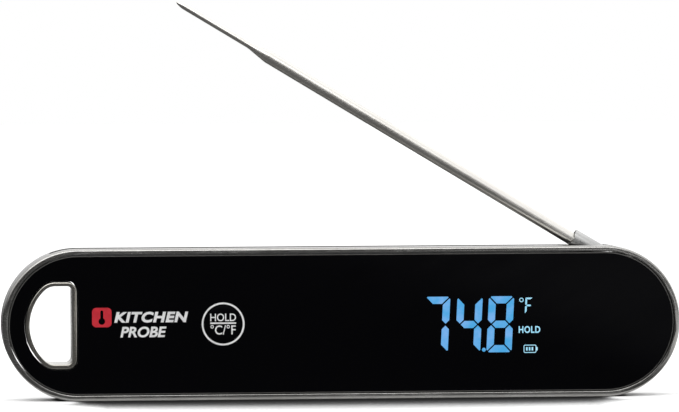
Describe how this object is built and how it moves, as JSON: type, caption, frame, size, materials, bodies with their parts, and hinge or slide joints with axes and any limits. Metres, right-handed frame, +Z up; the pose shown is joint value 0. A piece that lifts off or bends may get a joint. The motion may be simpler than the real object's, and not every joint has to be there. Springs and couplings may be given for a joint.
{
  "type": "folding probe thermometer",
  "caption": "Folding kitchen thermometer: a flat round-ended body with a glass front, a lit display, a hold key and a hang hole, and a steel probe that swings out of its top edge.",
  "frame": {"origin": "middle of the long lower edge that the body stands on, halfway through its thickness", "axes": "+X along the body towards the probe hinge, +Y out of the rear cover so that the front glass faces -Y, +Z up"},
  "size_m": [0.175, 0.017, 0.1025],
  "materials": {
    "frame_metal": "satin brushed, rounded outer edges",
    "bezel_metal": "satin, polished lip",
    "front_glass": "high gloss black",
    "inner_plastic": "moulded, fine texture",
    "cover_plastic": "fine sparked texture",
    "silicone": "matte",
    "magnet_plating": "nickel plated",
    "screw_steel": "machined",
    "display_glass": "black display glass with light blue segments",
    "white_plastic": "satin",
    "contact_brass": "satin",
    "circuit_board": "solder mask",
    "chip_black": "moulded epoxy",
    "spring_steel": "nickel plated",
    "cell_jacket": "printed sleeve, gloss",
    "hub_metal": "satin",
    "probe_steel": "polished stainless, drawn along its length"
  },
  "bodies": {
    "body": {"case_frame": "frame_metal", "front_glass": "front_glass", "hole_bezel": "bezel_metal", "glass_gasket": "silicone", "chassis": "inner_plastic", "rear_seal": "silicone", "rear_cover": "cover_plastic", "magnet_1": "magnet_plating", "magnet_2": "magnet_plating", "case_screw_1": "screw_steel", "case_screw_2": "screw_steel", "case_screw_3": "screw_steel", "case_screw_4": "screw_steel", "display_panel": "display_glass", "display_backlight": "white_plastic", "display_holder": "white_plastic", "display_ribbon": "contact_brass", "main_board": "circuit_board", "controller_chip": "chip_black", "tilt_sensor": "chip_black", "key_dome": "spring_steel", "wake_board": "circuit_board", "wake_sensor": "chip_black", "piezo_buzzer": "contact_brass", "battery_cell": "cell_jacket", "battery_spring": "spring_steel", "spring_plate": "spring_steel", "button_plate": "spring_steel", "pivot_pin": "screw_steel", "hub_seal": "silicone", "wave_washer": "spring_steel"},
    "probe": {"probe_hub": "hub_metal", "probe_tube": "probe_steel", "sensor_leads": "silicone", "sensor_bead": "chip_black", "wake_magnet": "magnet_plating"},
    "key": {"hold_key": "front_glass"},
    "door": {"battery_door": "cover_plastic", "door_seal": "silicone", "door_screw": "screw_steel"}
  },
  "joints": [
    {"name": "probe_fold", "type": "hinge", "parent": "body", "child": "probe", "pos_m": [0.0723, 0.0012, 0.0334], "axis": [0, 1, 0], "range_deg": [-31.15, 148.85]},
    {"name": "hold_key_press", "type": "slide", "parent": "body", "child": "key", "axis": [0, 1, 0], "range_m": [0, 0.00035], "stiffness_N_per_m": 2500},
    {"name": "battery_door_lift", "type": "slide", "parent": "body", "child": "door", "axis": [0, 1, 0], "range_m": [0, 0.016]}
  ]
}
